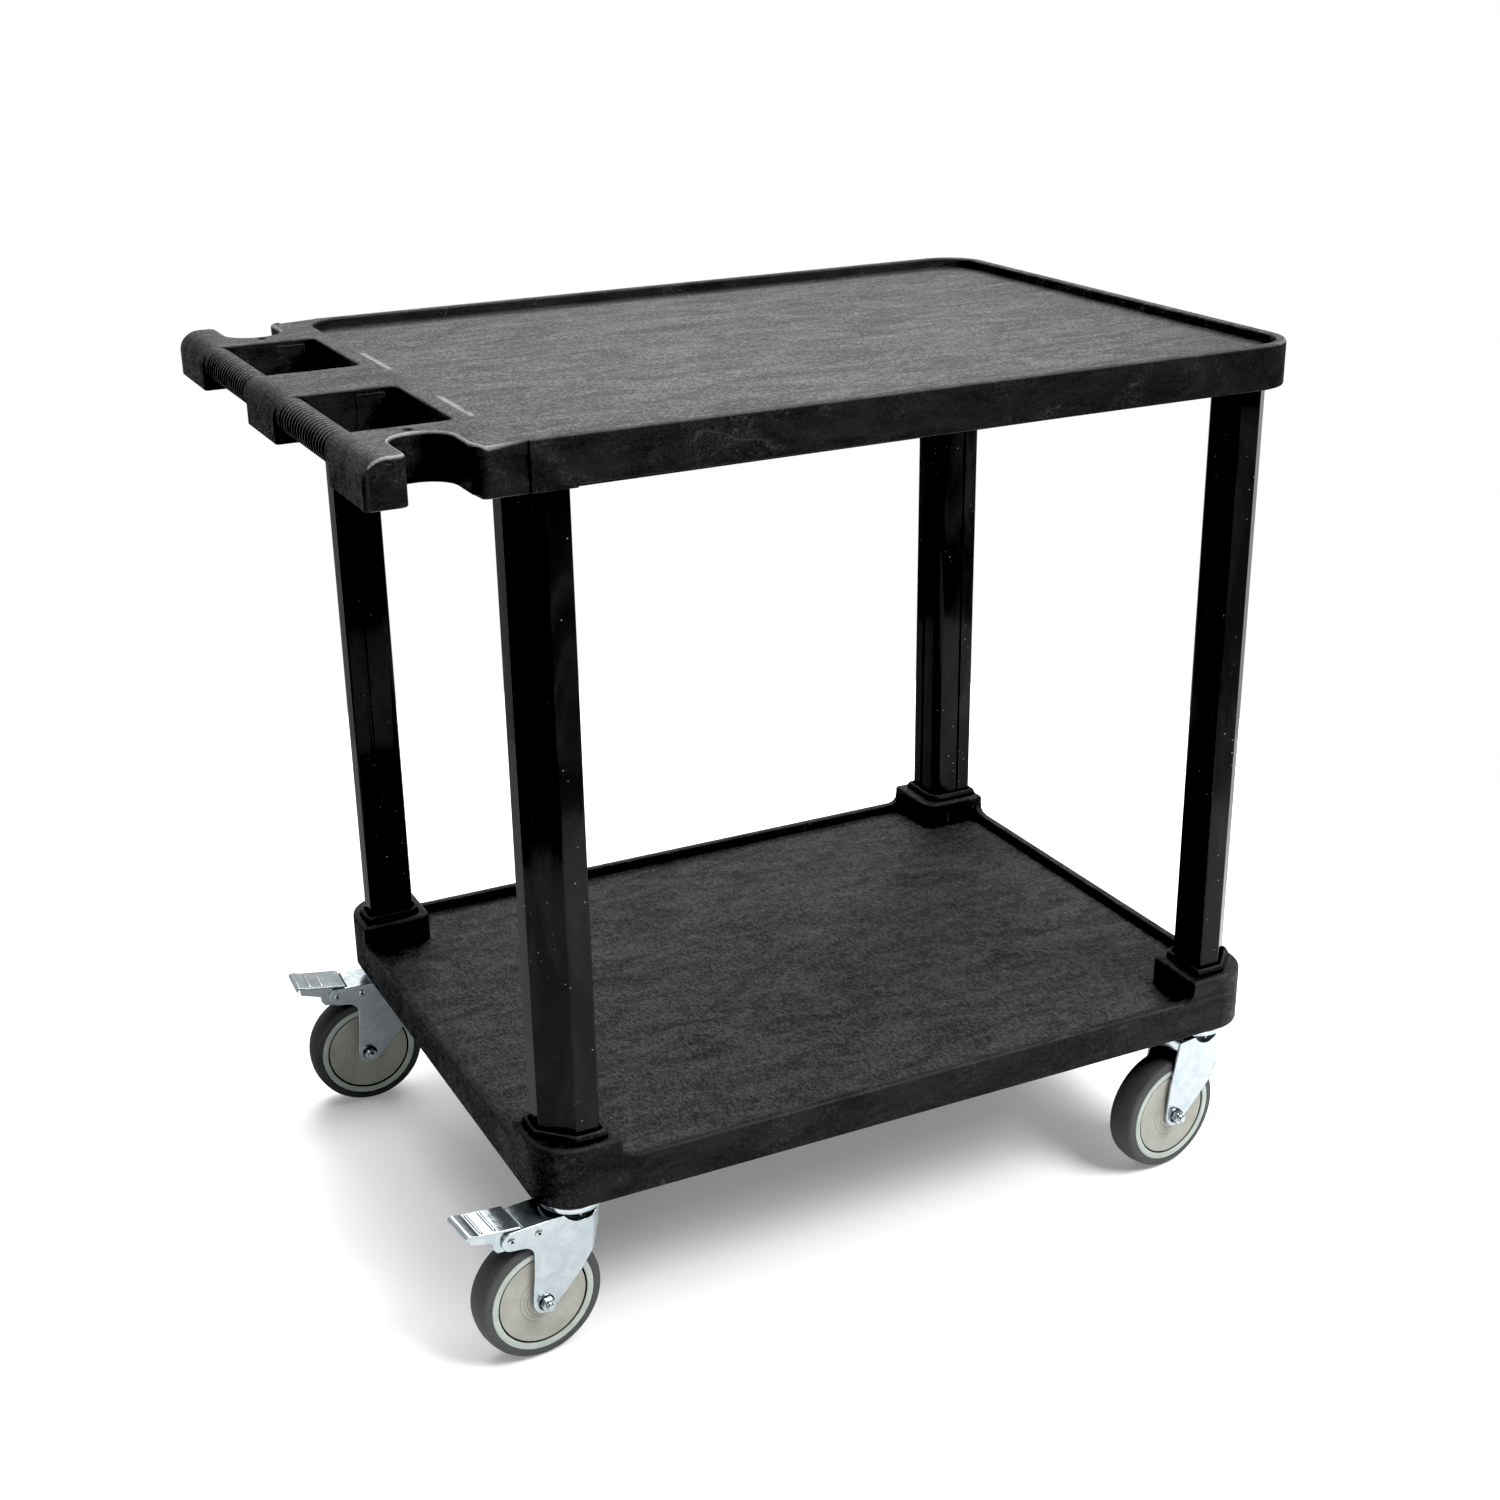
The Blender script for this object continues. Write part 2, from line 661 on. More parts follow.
def leg_outline(corner, grow=0.0, grooves=True):
    """Corners of a leg's section, grown outwards, with its chamfer outwards."""
    low, high = span("leg_" + corner)
    middle = (low + high) / 2
    half = (high.x - low.x) / 2 + grow
    cut = LEG_CHAMFER + grow * (2 - math.sqrt(2))
    deep = 1.6
    a, b = 4.75, 8.25  # a groove's two sides
    shape = [(half, -half, 2), (half, half - cut, 2.5), (half - cut, half, 2.5), (-half, half, 2)]
    if grooves:
        shape += [(-half, b, 0.4), (deep - half, b, 0.4), (deep - half, a, 0.4), (-half, a, 0.4)]
    shape += [(-half, -half, 9 + grow)]
    if grooves:
        shape += [(a, -half, 0.4), (a, deep - half, 0.4), (b, deep - half, 0.4), (b, -half, 0.4)]
    sx, sy = direction(corner)
    shape = [(middle.x + sx * x, middle.y + sy * y, r) for x, y, r in shape]
    return shape if sx * sy > 0 else shape[::-1]


def ribs(shape, z0, z1, bars):
    """Moulded ribs under a tray, which leave room for its two bars."""
    x0, x1 = REAR_X + WALL_T, FRONT_X - WALL_T
    half_y = SIDE_Y - WALL_T
    bar_y = span(bars)[1].y - BAR_HALF
    gap = BAR_HALF + 0.4
    half, draft = 2, 0.5
    bays = 10
    pitch = (x1 - x0) / bays
    runs = [(-half_y, -bar_y - gap), (-bar_y + gap, bar_y - gap), (bar_y + gap, half_y)]
    for i in range(1, bays):
        x = x0 + i * pitch
        for a, b in runs:
            shape.block((x - half, a, z0), (x + half, b, z1), draft)
    for y in (-1.5 * bar_y, -bar_y / 2, 0, bar_y / 2, 1.5 * bar_y):
        shape.block((x0, y - half, z0), (x1, y + half, z1), draft)


def recess(shape, corners, top, floor):
    """Tray walls down from a rounded lip, with its floor; returns the ring round the lip."""
    foot = faded(upright((0.7, floor + 2), (2.6, floor)), -0.8)
    lip = faded(level((-LIP_ROUND, top), (0, top - LIP_ROUND)), 0.15)
    return shape.pocket(corners, lip + foot)


def cavity(shape, corners, under, ceiling):
    """Hollow in the underside; returns the ring round its mouth."""
    path = level((-0.8, under), (0, under + 0.8), 2) + [(0.8, ceiling - 2)]
    path += upright((0.8, ceiling - 2), (2.8, ceiling), 2)[1:]
    return shape.pocket(corners, path)


def handle_steps():
    """X of the edge loops that follow the handle's rounded top edge."""
    turns = [math.radians(12 * k) for k in range(5)]
    return [HANDLE_X + HANDLE_R * (1 - math.sin(t)) for t in turns]


def top_outline():
    """Plan of the top shelf with its handle, whose finger openings are left out as bays."""
    steps = handle_steps()
    left = [(FRONT_X, SIDE_Y, TOP_R), (STEP_X + 1, SIDE_Y, 0), (STEP_X, SIDE_Y, 0),
            (SEAM_X, SIDE_Y, 0), (SEAM_X, SIDE_Y - BLOCK_IN, 0),
            (BLOCK_X0, SIDE_Y - BLOCK_IN, BLOCK_CORNER), (BLOCK_X0, SCALLOP_Y, SCALLOP_R),
            (CAP_X1, SCALLOP_Y, SCALLOP_R), (CAP_X1, SIDE_Y, 8)]
    left += [(x, SIDE_Y, 0) for x in steps]
    left += [(HANDLE_X, SIDE_Y, 4.5), (HANDLE_X, GRIP_Y1, 3)]
    left += [(x, GRIP_Y1, 0) for x in reversed(steps)]
    left += [(OPEN_X1, GRIP_Y1, 11), (OPEN_X1, GRIP_Y0, 11)]
    left += [(x, GRIP_Y0, 0) for x in steps]
    left += [(HANDLE_X, GRIP_Y0, 3)]
    return left + [(x, -y, r) for x, y, r in reversed(left)]


def round_handle(point):
    """Rounds the handle's top outer edge to HANDLE_R."""
    base = TOP_Z - HANDLE_R
    into = HANDLE_X + HANDLE_R - point.x
    if into <= 0 or point.z <= base:
        return point
    share = math.sqrt(max(0.0, 1 - min(1.0, into / HANDLE_R) ** 2))
    return Vector((point.x, point.y, base + (point.z - base) * share))


def shape_blocks(point):
    """Rounds the top of the shelf's rear blocks, and deepens the skirt outside the rear legs."""
    x, y, z = point
    if x < BLOCK_X0 - 1 or x > STEP_X or abs(y) < SIDE_Y - 4.6:
        return point
    if z < TOP_UNDER + 1.5:
        return Vector((x, y, z - SKIRT_DROP))
    into = abs(y) - (SIDE_Y - BLOCK_IN - BLOCK_R)
    if x < SEAM_X - 1 and into > 0 and z > TOP_Z - BLOCK_R - 1:
        drop = BLOCK_R - math.sqrt(max(0.0, BLOCK_R ** 2 - into ** 2))
        return Vector((x, y, min(z, TOP_Z - drop)))
    return point


def grip():
    """Ribbed grip bar along Y, whose ends sink into the blocks beside it."""
    length = GRIP_Y1 - GRIP_Y0
    plain = 16
    count = 16
    pitch = (length - 2 * plain) / count
    profile = [(GRIP_R - 2, -2), (GRIP_R, -1.5), (GRIP_R, plain - 3)]
    for k in range(count + 1):
        for off, drop in ((-2.9, 0.05), (-1.7, 0.6), (0, 1.4), (1.7, 0.6), (2.9, 0.05)):
            profile.append((GRIP_R - drop, plain + k * pitch + off, -min(1.0, drop)))
        if k < count:
            profile.append((GRIP_R, plain + (k + 0.5) * pitch, 0.6))
    profile += [(GRIP_R, length - plain + 3), (GRIP_R, length + 1.5), (GRIP_R - 2, length + 2)]
    return Shape().lathe(profile, 48, closed=False)


def socket(shape, corner, z0, z1):
    """Moulded socket round the upper end of a leg."""
    shape.tube(leg_outline(corner, WALL_T, False), level((1, z0), (0, z0 + 1), 2) + [(0, z1)],
               leg_outline(corner, LEG_GAP, False), [(-1.2, z0), (0, z0 + 2), (0, z1)])


def top_shelf():
    shape = Shape()
    side = level((1.2, TOP_UNDER), (0, TOP_UNDER + 1.2), 2) + upright((0, TOP_Z - 3), (3, TOP_Z), 5)
    under, rim = shape.wall(top_outline(), side)
    tray = rectangle(TRAY_REAR, -SIDE_Y + LIP, FRONT_X - LIP, SIDE_Y - LIP,
                     (TRAY_R, TOP_R - LIP, TOP_R - LIP, TRAY_R))
    floor = TOP_Z - TRAY_DEEP
    mouths = [recess(shape, tray, TOP_Z, floor)]
    t = WALL_T
    ceiling = floor - FLOOR_T
    handle_ceiling = TOP_Z - HANDLE_R - 1
    below = rectangle(REAR_X + t, t - SIDE_Y, FRONT_X - t, SIDE_Y - t, (4, TOP_R - t, TOP_R - t, 4))
    bridge = rectangle(HANDLE_X + t, t - GRIP_Y0, OPEN_X1 - t, GRIP_Y0 - t, 3)
    hollows = [cavity(shape, below, TOP_UNDER, ceiling),
               cavity(shape, bridge, TOP_UNDER, handle_ceiling)]
    for s in (-1, 1):
        a, b = sorted((s * (GRIP_Y1 + t), s * (SIDE_Y - t)))
        cap = rectangle(HANDLE_X + t, a, CAP_X1 - t, b, 3)
        hollows.append(cavity(shape, cap, TOP_UNDER, handle_ceiling))
        hole = circle((CAP_X1 + BLOCK_X0) / 2, s * PIN_HOLE_Y, 4)
        low, high = shape.wall(hole, [(-0.4, TOP_UNDER), (0, TOP_UNDER + 0.4), (0, TOP_Z - 0.8),
                                      (-0.8, TOP_Z)])
        hollows.append(low)
        mouths.append(high)
    seams = []
    for x in handle_steps():
        seams.append(((x, 3 - GRIP_Y0), (x, GRIP_Y0 - 3)))
        seams += [((x, s * (GRIP_Y1 + 3)), (x, s * (SIDE_Y - 3))) for s in (-1, 1)]
    shape.fill([rim] + mouths, seams)
    shape.fill([under] + hollows)
    shape.reshape(round_handle).reshape(shape_blocks)
    # the handle's and the skirts' edges are rubbed less than the tray's
    for i, vert in enumerate(shape.verts):
        if vert.x < HANDLE_X + 5 and abs(vert.y) > SIDE_Y - 5:
            shape.wear[i] = 0.2
        elif vert.x < HANDLE_X + 4:
            shape.wear[i] *= 0.1
        elif vert.x < OPEN_X1 + 3 and abs(vert.y) < GRIP_Y1 + 3:
            shape.wear[i] *= 0.4
        elif vert.x > SEAM_X and abs(vert.y) > SIDE_Y - 4:
            shape.wear[i] *= 0.3
    ribs(shape, TOP_UNDER + 5, ceiling + 0.5, "top_bars")
    for s in (-1, 1):
        along = Matrix.Translation((GRIP_X, GRIP_Y0 if s > 0 else -GRIP_Y1, GRIP_Z))
        shape.add(grip(), along @ Matrix.Rotation(-math.pi / 2, 4, "X"))
        # stepped panel inside each end of a finger opening
        for wall, way in ((GRIP_Y1, -1), (GRIP_Y0, 1)):
            panel = plate(rectangle(OPEN_X1 - 36, TOP_UNDER + 2, OPEN_X1 - 9, TOP_Z - 6, 1.5),
                          -0.5, 0.7, 0.4, 0.8)
            panel.wear = [0.3 * wear for wear in panel.wear]
            shape.add(panel, Matrix(((1, 0, 0, 0), (0, 0, s * way, s * wall), (0, 1, 0, 0),
                                     (0, 0, 0, 1))))
    for corner in CORNERS:
        socket(shape, corner, TOP_LOW.z, ceiling + 1)
    piece("Top_shelf", shape, "root", "top_shelf", PLASTIC)


def boss(shape, corner):
    """Raised corner of the bottom shelf, with the collar round its leg."""
    sx, sy = direction(corner)
    outer_x = FRONT_X if sx > 0 else REAR_X
    inner_x = outer_x - sx * BOSS_W
    outer_y = sy * SIDE_Y
    inner_y = outer_y - sy * BOSS_W
    corners = [(outer_x, outer_y, BOTTOM_R), (inner_x, outer_y, 0.6), (inner_x, inner_y, 14),
               (outer_x, inner_y, 0.6)]
    if sx * sy < 0:
        corners = corners[::-1]
    side = level((1.5, BOTTOM_Z), (0, BOTTOM_Z + 1.5), 2) + upright((0, BOSS_Z - 5), (5, BOSS_Z), 6)
    foot, head = shape.wall(corners, faded(side, 0.2))
    leg_hole = leg_outline(corner, LEG_GAP, False)
    ledge = BOTTOM_Z + 7
    throat, mouth = shape.wall(leg_hole, [(0, ledge), (0, BOSS_Z)])
    shape.fill([head, mouth])
    stem = caster_place(corner).translation
    low, high = shape.wall(circle(stem.x, stem.y, 9.5), [(0, BOTTOM_Z), (0, ledge)])
    shape.fill([foot, low])
    shape.fill([throat, high])
    flared = level((0, BOSS_Z - 0.4), (-1.6, BOSS_Z + 2.4), 3)
    outside = [(x, z, -0.8) for x, z, _ in flared] + faded(upright((0, COLLAR_Z - 2), (2, COLLAR_Z), 3))
    inside = [(0, BOSS_Z - 0.4, -1), (0, COLLAR_Z - 4, -1), (-1.5, COLLAR_Z - 1.6), (-2, COLLAR_Z)]
    shape.tube(leg_outline(corner, WALL_T, False), outside, leg_hole, inside)
    flare(shape, inner_x, -sx, outer_y, sy, True)
    flare(shape, inner_y, -sy, outer_x, sx, False)


def flare(shape, start, way, face, out, along_x):
    """Concave web from a boss down to the tray's lip, on the side whose outer face is given."""
    r = 11
    profile = [(-1, BOTTOM_TOP - 4, 0), (r + 2, BOTTOM_TOP - 4, 0), (r + 2, BOTTOM_TOP - 0.3, 0)]
    profile += arc(r, BOTTOM_TOP + r, r, 270, 180, 8)
    profile += [(-1, BOTTOM_TOP + r, 0)]
    web = plate(profile, 0.15, LIP - 0.3, 1.6)
    web.wear = [0.15 * wear for wear in web.wear]
    rows = [(way, 0, 0, start), (0, 0, -out, face)]
    if not along_x:
        rows.reverse()
    shape.add(web, Matrix((*rows, (0, 1, 0, 0), (0, 0, 0, 1))))


def between_bosses(inset):
    """Outline of the bottom shelf's four sides, cut off straight at its bosses."""
    near, far = REAR_X + BOSS_W, FRONT_X - BOSS_W
    rear, front = REAR_X + inset, FRONT_X - inset
    side, edge = SIDE_Y - inset, SIDE_Y - BOSS_W
    return [(near, -side, 0), (far, -side, 0), (front, -edge, 0), (front, edge, 0),
            (far, side, 0), (near, side, 0), (rear, edge, 0), (rear, -edge, 0)]


def bottom_shelf():
    shape = Shape()
    floor = BOTTOM_TOP - TRAY_DEEP
    ceiling = floor - FLOOR_T
    side = level((1.5, BOTTOM_Z), (0, BOTTOM_Z + 1.5), 2)
    side += upright((0, BOTTOM_TOP - 3), (3, BOTTOM_TOP), 5)
    under, rim = shape.wall(between_bosses(0), faded(side))
    shape.fill([rim, recess(shape, between_bosses(LIP), BOTTOM_TOP, floor)])
    shape.fill([under, cavity(shape, between_bosses(WALL_T), BOTTOM_Z, ceiling)])
    ribs(shape, BOTTOM_Z + 4, ceiling + 0.5, "bottom_bars")
    for corner in CORNERS:
        boss(shape, corner)
    piece("Bottom_shelf", shape, "root", "bottom_shelf", PLASTIC)


def leg(corner):
    low, high = span("leg_" + corner)
    outside = [(0.3, low.z), (0, low.z + 0.3), (0, high.z - 0.3), (0.3, high.z)]
    shape = Shape().tube(leg_outline(corner), outside,
                         leg_outline(corner, -3.5, False), [(0, low.z), (0, high.z)])
    piece("Leg_" + corner, shape, "root", "leg_" + corner, LEG)


# ---------- casters ----------
# A caster's own frame: the swivel axis is Z at the origin, and the wheel trails towards -X.

def caster_place(corner):
    """Matrix, in millimetres, from a caster's own frame to the cart's."""
    pivot = JOINTS["caster_swivel_" + corner]["pos_m"]
    axis = JOINTS["wheel_roll_" + corner]["axis"]
    turn = math.atan2(-axis[0], axis[1])
    return Matrix.Translation((pivot[0] / MM, pivot[1] / MM, 0)) @ Matrix.Rotation(turn, 4, "Z")


ON_AXLE = Matrix.Translation((-TRAIL, 0, WHEEL_R)) @ Matrix.Rotation(-math.pi / 2, 4, "X")
ACROSS = Matrix.Rotation(math.pi / 2, 4, "X")


def caster_piece(node, shape, body, finish, corner, place, name=None):
    """Makes a caster's mesh, which is named after its CAD node unless a name is given."""
    end = "_" + corner
    piece((name or node).capitalize() + end, shape, body + end, node + end, finish, place)


def fork_outline(brake):
    """Side view of a fork cheek."""
    dip = arc(1.5, CROWN_Z + 12, 23.5, -38.2, -149.3, 16)
    boss_arc = arc(-TRAIL, WHEEL_R, 12.5, 180, 329, 14)
    if brake:
        px, pz = PEDAL_PIVOT
        rear = [(px - 9.2, CROWN_Z, 9), (px - 9.2, pz - 9.3, 9), (-50.2, pz - 14.5, 11),
                (-51.6, 96, 0), (-54.3, 70, 0)]
        front = [(-17, 70, 12), (-3, 85, 12), (10, 103, 18), (20.3, 128, 14)]
    else:
        rear = [(-40, CROWN_Z, 2), (-50.5, 101, 12), (-54.3, 70, 0)]
        front = [(-20, 64.5, 12), (9, 92, 14), (18, 106, 12), (22.3, 124, 14)]
    return dip[:-1] + [(-18.7, CROWN_Z, 0.6)] + rear + boss_arc + front


def bend_front(point):
    """Bends the front of a cheek towards the middle, above the wheel."""
    ahead = max(0.0, point.x - 11 + (CROWN_Z - point.y) * 0.12)
    fade = min(1.0, max(0.0, (point.y - 100) / 24))
    shift = (0.1 * ahead * ahead if ahead < 3 else 0.6 * ahead - 0.9) * fade
    return Vector((point.x, point.y, point.z - math.copysign(shift, point.z)))


def fork(corner, place):
    brake = "rear" in corner
    holes = [circle(-TRAIL, WHEEL_R, 4.1)]
    if brake:
        holes += [circle(*PEDAL_PIVOT, 2.55), circle(*SHOE_PIVOT, 2.55)]
    # extra edges for bend_front to fold along
    seams = [((11 + d, CROWN_Z - 14), (6 + d, CROWN_Z - 52)) for d in (0, 1.5, 3)]
    cheek = plate(fork_outline(brake), CHEEK_IN, CHEEK_OUT, 0.4, 1.1, holes, seams)
    cheek.reshape(bend_front)
    shape = Shape().add(cheek, ACROSS).add(cheek, ACROSS @ Matrix.Scale(-1, 4, (0, 0, 1)))
    reach = -60 if brake else -40
    crown = rectangle(reach, -CHEEK_IN - 0.4, -17, CHEEK_IN + 0.4, 1)
    shape.add(plate(crown, CROWN_Z - 3, CROWN_Z - 0.2, 0.5))
    seat = [(6.1, SEAT_Z), (17, SEAT_Z), (20, SEAT_Z + 1.2), (21.2, SEAT_Z + 4), (21.2, CROWN_Z - 1),
            (22, CROWN_Z), (23.4, CROWN_Z), (24, CROWN_Z - 1), (24, SEAT_Z + 3), (22.6, SEAT_Z - 0.5),
            (19.5, SEAT_Z - 2.4), (16, SEAT_Z - 3), (6.1, SEAT_Z - 3)]
    bowl = Shape().lathe([(r, h, -1) for r, h in seat], 72)
    limit = CHEEK_IN + 0.3
    bowl.reshape(lambda p: Vector((p.x, max(-limit, min(limit, p.y)), p.z)))
    shape.add(bowl)
    caster_piece("fork", shape, "swivel", ZINC, corner, place)


def cup(corner, place):
    """Pressed upper race under the shelf."""
    profile = [(6.05, SEAT_Z + 6.2, -1), (19.8, SEAT_Z + 6.2, -1), (20.5, SEAT_Z + 7, -1),
               (20.5, SEAT_Z + 11.4, -1), (22, SEAT_Z + 12.6, -1), (30.2, SEAT_Z + 12.6, -1),
               (31.2, SEAT_Z + 12.8), (32, SEAT_Z + 14)]
    profile += [(x, z) for x, z, _ in arc(23, SEAT_Z + 16, 9, 0, 90, 8)]
    profile += [(6.05, SEAT_Z + 25)]
    shape = Shape().lathe(profile, 72)
    piece("Cup_" + corner, shape, "root", "cup_" + corner, BRIGHT_ZINC, place)


def tread(corner, place):
    half = 16
    side = [(53, half - 0.5), (53.6, half), (56.4, half), (57, half - 0.35), (58, half - 0.3)]
    shoulder = [(x, z) for x, z, _ in arc(57.6, half - 4.6, 4.3, 80, 18, 6)]
    crown = [(WHEEL_R - 0.9, half * 0.55), (WHEEL_R - 0.3, half * 0.3), (WHEEL_R, 0)]
    upper = side + shoulder + crown
    profile = upper + [(r, -h) for r, h in reversed(upper[:-1])]
    shape = Shape().lathe(profile, 128)
    caster_piece("tread", shape, "wheel", RUBBER, corner, place @ ON_AXLE)


def rim(corner, place):
    """Moulded rim: a web between two flanges, with a rounded face beside the tread."""
    upper = [(11, 12.6, 0), (17, 12.6, 0), (17, 3.4, 0), (19, 3, 0), (43.4, 3, -1), (45.4, 4, -1),
             (46.3, 12.6, -1), (46.3, 14.6, -1), (46.5, 15.5, 0), (47.3, 16.1, 0), (48.4, 16.2, 0),
             (51.4, 16.2, 0), (52.6, 15.9, 0), (53, 15.2, -0.6)]
    profile = [(r, -h, wear) for r, h, wear in upper] + upper[::-1]
    shape = Shape().lathe(profile, 96)
    caster_piece("wheel_rim", shape, "wheel", RIM, corner, place @ ON_AXLE, "rim")


def guards(corner, place):
    """Thread guards: flat discs with raised rings round a low hub."""
    v = 14.8
    disc = [(6.05, v - 1.6), (44.6, v - 1.6, -1), (45, v - 1.2, -1), (45, v - 0.7, -1), (44.6, v),
            (24.4, v), (24, v, -0.7), (23.4, v + 0.35), (20.5, v + 0.35), (20.1, v + 0.35, -0.7),
            (19.6, v + 0.7), (17.4, v + 0.7), (17, v + 0.7, -0.8), (16.4, v + 1.3), (13, v + 1.3),
            (12.4, v + 1.4, -0.8), (12, v + 1.8), (12, CHEEK_IN - 0.4), (11.6, CHEEK_IN - 0.05),
            (6.05, CHEEK_IN - 0.05)]
    side = Shape().lathe(disc, 96)
    shape = Shape().add(side).add(side, Matrix.Scale(-1, 4, (0, 0, 1)))
    caster_piece("thread_guards", shape, "swivel", GUARD, corner, place @ ON_AXLE)


def hexagon(shape, flats, profile):
    """Hexagonal prism along Z, whose corners are cut back to the radius at each height."""
    count = 48
    rings = []
    for limit, height in profile:
        points = []
        for k in range(count):
            angle = 2 * math.pi * k / count
            to_flat = angle % (math.pi / 3) - math.pi / 6
            r = min(flats / 2 / math.cos(to_flat), limit)
            points.append((r * math.cos(angle), r * math.sin(angle), height))
        rings.append(shape.ring(points))
    shape.skin(rings)
    shape.faces += [tuple(rings[0]), tuple(rings[-1])]


def washer(shape, z0, z1, r, hole):
    shape.lathe([(hole, z0, -1), (r - 0.3, z0, -1), (r, z0 + 0.3), (r, z1 - 0.3), (r - 0.3, z1),
                 (hole, z1, -1)], 48)


def axle(corner, place):
    """Bolt with its head on the left, and a nut on the right that its threaded tip passes."""
    out = CHEEK_OUT
    shaft = [(2.6, -out - 12), (3.5, -out - 11.4), (3.9, -out - 10.4)]
    for k in range(8):
        z = -out - 9.9 + k * 1.25
        shaft += [(3.95, z), (3.95, z + 0.3), (3.5, z + 0.62), (3.5, z + 0.75)]
    shaft += [(4, -out + 0.5), (4, out + 2)]
    bolt = Shape().lathe(shaft, 32, closed=False)
    washer(bolt, out, out + 1.2, 8.5, 4)
    hexagon(bolt, 13, [(7.2, out + 1), (7.6, out + 1.4), (7.6, out + 5.6), (6.3, out + 6.4)])
    caster_piece("axle_bolt", bolt, "swivel", ZINC, corner, place @ ON_AXLE)
    nut = Shape()
    washer(nut, -out - 1.2, -out, 8.5, 4.05)
    hexagon(nut, 13, [(6.4, -out - 7.6), (7.6, -out - 6.8), (7.6, -out - 1.6), (7.2, -out - 1.2)])
    nut.lathe([(4.05, -out - 8), (5.4, -out - 8), (6.1, -out - 7.5), (4.05, -out - 7.3)], 32)
    caster_piece("axle_nut", nut, "swivel", ZINC, corner, place @ ON_AXLE)


def brake_pedal(corner, place):
    """Pressed pedal: curled nose, two ribs across, and side flanges down to the pivot."""
    px, pz = PEDAL_PIVOT
    z = CROWN_Z
    tread_plate = [(-63, z + 1.1, 0.3), (-63, z + 3.5, 0.5), (-80, z + 5.5, 10), (-104, z + 8.6, 8),
                   (-113, z + 11, 5), (-117.3, z + 10, 1.6), (-117.3, z + 5.6, 0.8),
                   (-115.2, z + 5.6, 0.6), (-114.6, z + 8.2, 1.5), (-106, z + 6.6, 6),
                   (-80, z + 3.1, 8)]
    shape = Shape()
    shape.add(plate(tread_plate, -20.5, 20.5, 0.7), ACROSS)
    flange = [(-63.6, z + 1.8, 0.6), (-80, z + 4.2, 6), (-113, z + 8.6, 1.5), (-112.4, z - 0.5, 2),
              (px - 17.4, pz + 2, 2.5), (px - 17, pz - 4.5, 1.5), (px - 13, pz - 9.6, 2.5),
              (px, pz - 10.5, 4), (px + 5, pz - 8.5, 2), (-63.6, z - 4, 1.5)]
    hole = circle(px, pz, 2.56)
    for low in (15.4, -17.4):
        shape.add(plate(flange, low, low + 2, 0.4, None, [hole]), ACROSS)
    profile = [(0.6, -18.5), (1.9, -18), (2.5, -16.8), (2.5, 16.8), (1.9, 18), (0.6, 18.5)]
    rib = Shape().lathe(profile, 24, closed=False)
    for x in (-88, -101):
        height = z + 4.1 - (x + 80) * 0.125
        shape.add(rib, Matrix.Translation((x, 0, height)) @ ACROSS)
    caster_piece("brake_pedal", shape, "pedal", BRIGHT_ZINC, corner, place)


def brake_shoe(corner, place):
    sx, sz = SHOE_PIVOT
    z = CROWN_Z
    strip = [(-40, z - 16, 0.3), (-40, z - 13.2, 0.3), (-54, z - 14.6, 6), (-61, z - 17, 4),
             (-65, z - 21.5, 0.6), (-63.4, z - 22.8, 0.6), (-59, z - 19.6, 4), (-54, z - 17.4, 6)]
    shape = Shape()
    shape.add(plate(strip, -15, 15, 0.6), ACROSS)
    profile = [(2.56, -15), (4.2, -15), (4.6, -14.6), (4.6, 14.6), (4.2, 15), (2.56, 15)]
    shape.add(Shape().lathe(profile, 32), Matrix.Translation((sx, 0, sz)) @ ACROSS)
    caster_piece("brake_shoe", shape, "shoe", ZINC, corner, place)


def brake_rivets(corner, place):
    """Rivets with domed, dimpled heads."""
    out = CHEEK_OUT
    head = [(1.1, out - 0.4, -1), (1.3, out + 1.1, -1), (1.8, out + 1.6, 0), (3, out + 1.4, 0),
            (3.8, out + 0.8, 0), (4, out, -1)]
    profile = head + [(2.5, out), (2.5, -out)] + [(r, -h, wear) for r, h, wear in reversed(head)]
    rivet = Shape().lathe(profile, 32, closed=False)
    shape = Shape()
    for px, pz in (PEDAL_PIVOT, SHOE_PIVOT):
        shape.add(rivet, Matrix.Translation((px, 0, pz)) @ ACROSS)
    caster_piece("brake_rivets", shape, "swivel", ZINC, corner, place)


# ---------- the cart ----------

top_shelf()
bottom_shelf()
for corner in CORNERS:
    leg(corner)
    place = caster_place(corner)
    fork(corner, place)
    cup(corner, place)
    tread(corner, place)
    rim(corner, place)
    guards(corner, place)
    axle(corner, place)
    if "rear" in corner:
        brake_pedal(corner, place)
        brake_shoe(corner, place)
        brake_rivets(corner, place)

# CAD nodes that show themselves, with their materials
CARRIED = {"top_bars": ALUMINIUM, "bottom_bars": ALUMINIUM, "caster_sockets": NYLON}
for corner in CORNERS:
    CARRIED["stem_" + corner] = ZINC[1]
    for part in ("swivel_balls_", "axle_sleeve_", "wheel_bearings_"):
        CARRIED[part + corner] = STEEL
for name, material in CARRIED.items():
    node = frame["nodes"][name]
    node.data.materials.clear()
    node.data.materials.append(material)


# ---------- floor, light and camera ----------

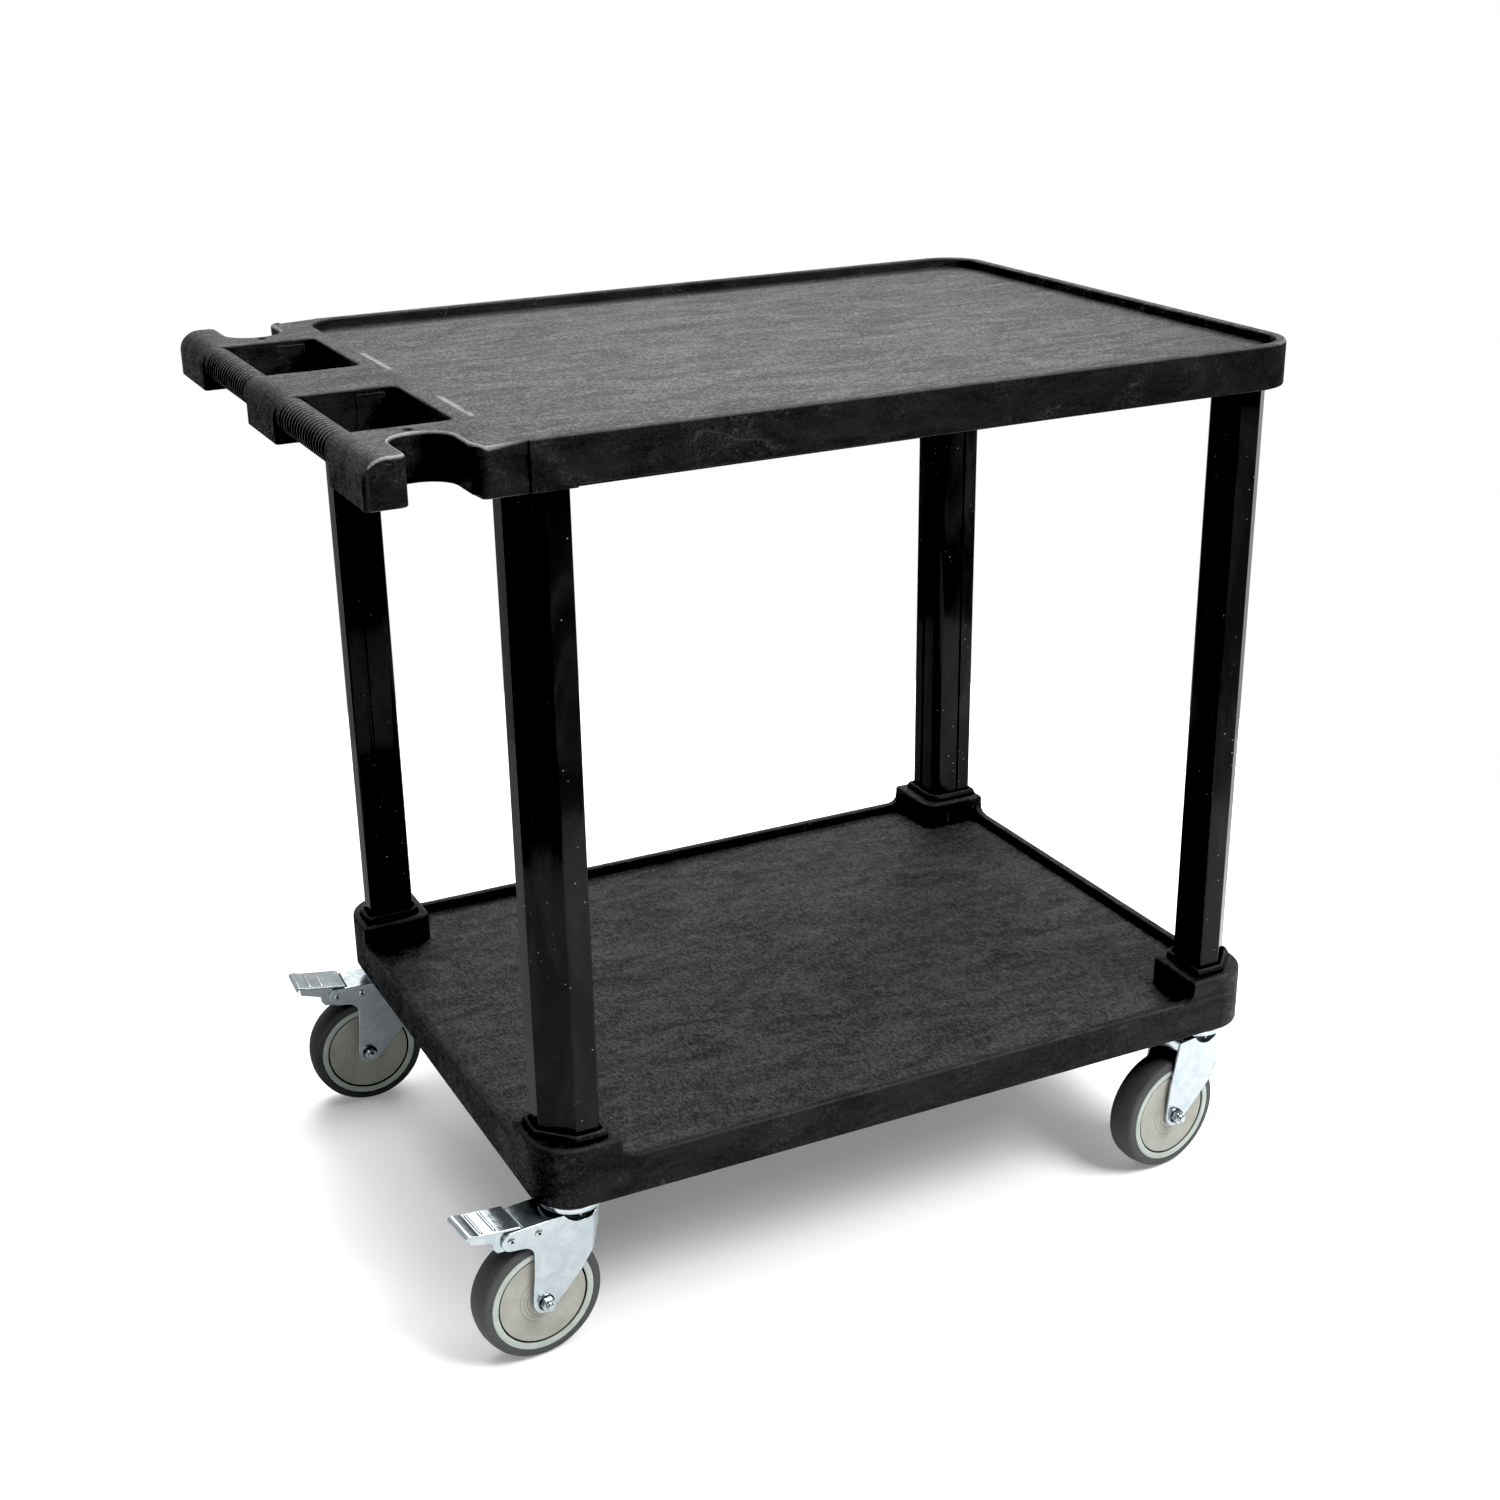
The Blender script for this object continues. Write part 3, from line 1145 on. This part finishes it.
def floor():
    """Round white studio floor, which catches the shadow and ends in the white background."""
    radius, count = 1.5, 96
    angles = [2 * math.pi * k / count for k in range(count)]
    edge = [(radius * math.cos(a), radius * math.sin(a), 0) for a in angles]
    mesh = bpy.data.meshes.new("Floor")
    mesh.from_pydata(edge, [], [tuple(range(count))])
    f = Finish("floor")
    speckle = f.noise(420, 3, 0.8)
    white = f.mix(f.remap(speckle, 0.3, 0.7), (0.8, 0.8, 0.805), (0.96, 0.96, 0.96))
    # mirrored in the cart, the floor behind it is dimmer than it looks straight on
    mirrored = f.math("SUBTRACT", 1, f.node("ShaderNodeLightPath").outputs["Is Camera Ray"])
    f.colour(f.mix(f.times(mirrored, f.remap(f.along("Y"), -0.5, 0.4)), white, (0.2, 0.2, 0.2)))
    f.roughness(f.remap(speckle, 0.3, 0.7, 0.75, 0.95))
    f.set(Specular_IOR_Level=0.1, Emission_Color=(1, 1, 1, 1), Emission_Strength=0.17)
    # seen from underneath, the floor isn't there
    under = f.node("ShaderNodeNewGeometry").outputs["Backfacing"]
    clear = f.node("ShaderNodeBsdfTransparent").outputs["BSDF"]
    f.surface(under, f.shader.outputs["BSDF"], clear, "Material Output")
    mesh.materials.append(f.material)
    placed("Floor", mesh)


def area_light(name, position, target, size, radiance):
    """Rectangular softbox of the given radiance."""
    data = bpy.data.lights.new(name, "AREA")
    data.shape = "RECTANGLE"
    data.size, data.size_y = size
    data.energy = radiance * math.pi * size[0] * size[1]
    obj = placed(name, data)
    obj.location = position
    obj.rotation_euler = (Vector(target) - Vector(position)).to_track_quat("-Z", "Y").to_euler()


def lights():
    """Softboxes in a room that is white to the camera, bright behind and dim in front."""
    world = bpy.data.worlds.new("Studio")
    world.use_nodes = True
    n = Nodes(world.node_tree)
    white = n.tree.nodes["Background"]
    white.inputs["Color"].default_value = (1, 1, 1, 1)
    ahead = n.node("ShaderNodeVectorMath", operation="DOT_PRODUCT")
    ahead.inputs[1].default_value = (0.3, 0.8, 0.5)
    n.link(n.node("ShaderNodeTexCoord").outputs["Generated"], ahead.inputs[0])
    room = n.node("ShaderNodeBackground")
    n.link(n.remap(ahead.outputs["Value"], -0.1, 1.0, 0.05, 0.9), room.inputs["Strength"])
    seen = n.node("ShaderNodeLightPath").outputs["Is Camera Ray"]
    n.surface(seen, room.outputs["Background"], white.outputs["Background"], "World Output")
    bpy.context.scene.world = world
    area_light("Overhead", (0.3, 0.2, 3.3), (0.1, 0, 0), (3.2, 2.6), 6.6)
    area_light("Key", (1.5, -2.2, 2.9), (0, 0, 0.1), (1.8, 1.5), 17.5)
    area_light("Fill", (-2.0, -2.6, 1.3), (-0.2, 0, 0.5), (1.6, 1.6), 2.4)
    area_light("Back", (1.4, 3.2, 3.0), (0, 0, 0.87), (3.4, 1.6), 4.8)


def camera():
    """Camera at the photograph's viewing angle."""
    azimuth, elevation, roll = (math.radians(a) for a in (-25.7148, 22.3077, -1.0985))
    back = Vector((math.sin(azimuth) * math.cos(elevation), -math.cos(azimuth) * math.cos(elevation),
                   math.sin(elevation)))
    right = Vector((0, 0, 1)).cross(back).normalized()
    up = back.cross(right)
    x = right * math.cos(roll) + up * math.sin(roll)
    y = up * math.cos(roll) - right * math.sin(roll)
    data = bpy.data.cameras.new("Camera")
    data.lens = 51.89
    data.sensor_width = 36
    data.shift_x = 0.01495
    data.shift_y = 0.0209
    turn = Matrix((x, y, back)).transposed().to_4x4()
    obj = placed("Camera", data)
    obj.matrix_world = Matrix.Translation((-0.90972, -1.87871, 1.27299)) @ turn
    bpy.context.scene.camera = obj


def grade():
    """Plain view transform with slightly deeper blacks."""
    view = bpy.context.scene.view_settings
    view.view_transform = "Standard"
    view.use_curve_mapping = True
    view.curve_mapping.black_level = (0.015, 0.015, 0.015)
    view.curve_mapping.update()


floor()
lights()
camera()
grade()
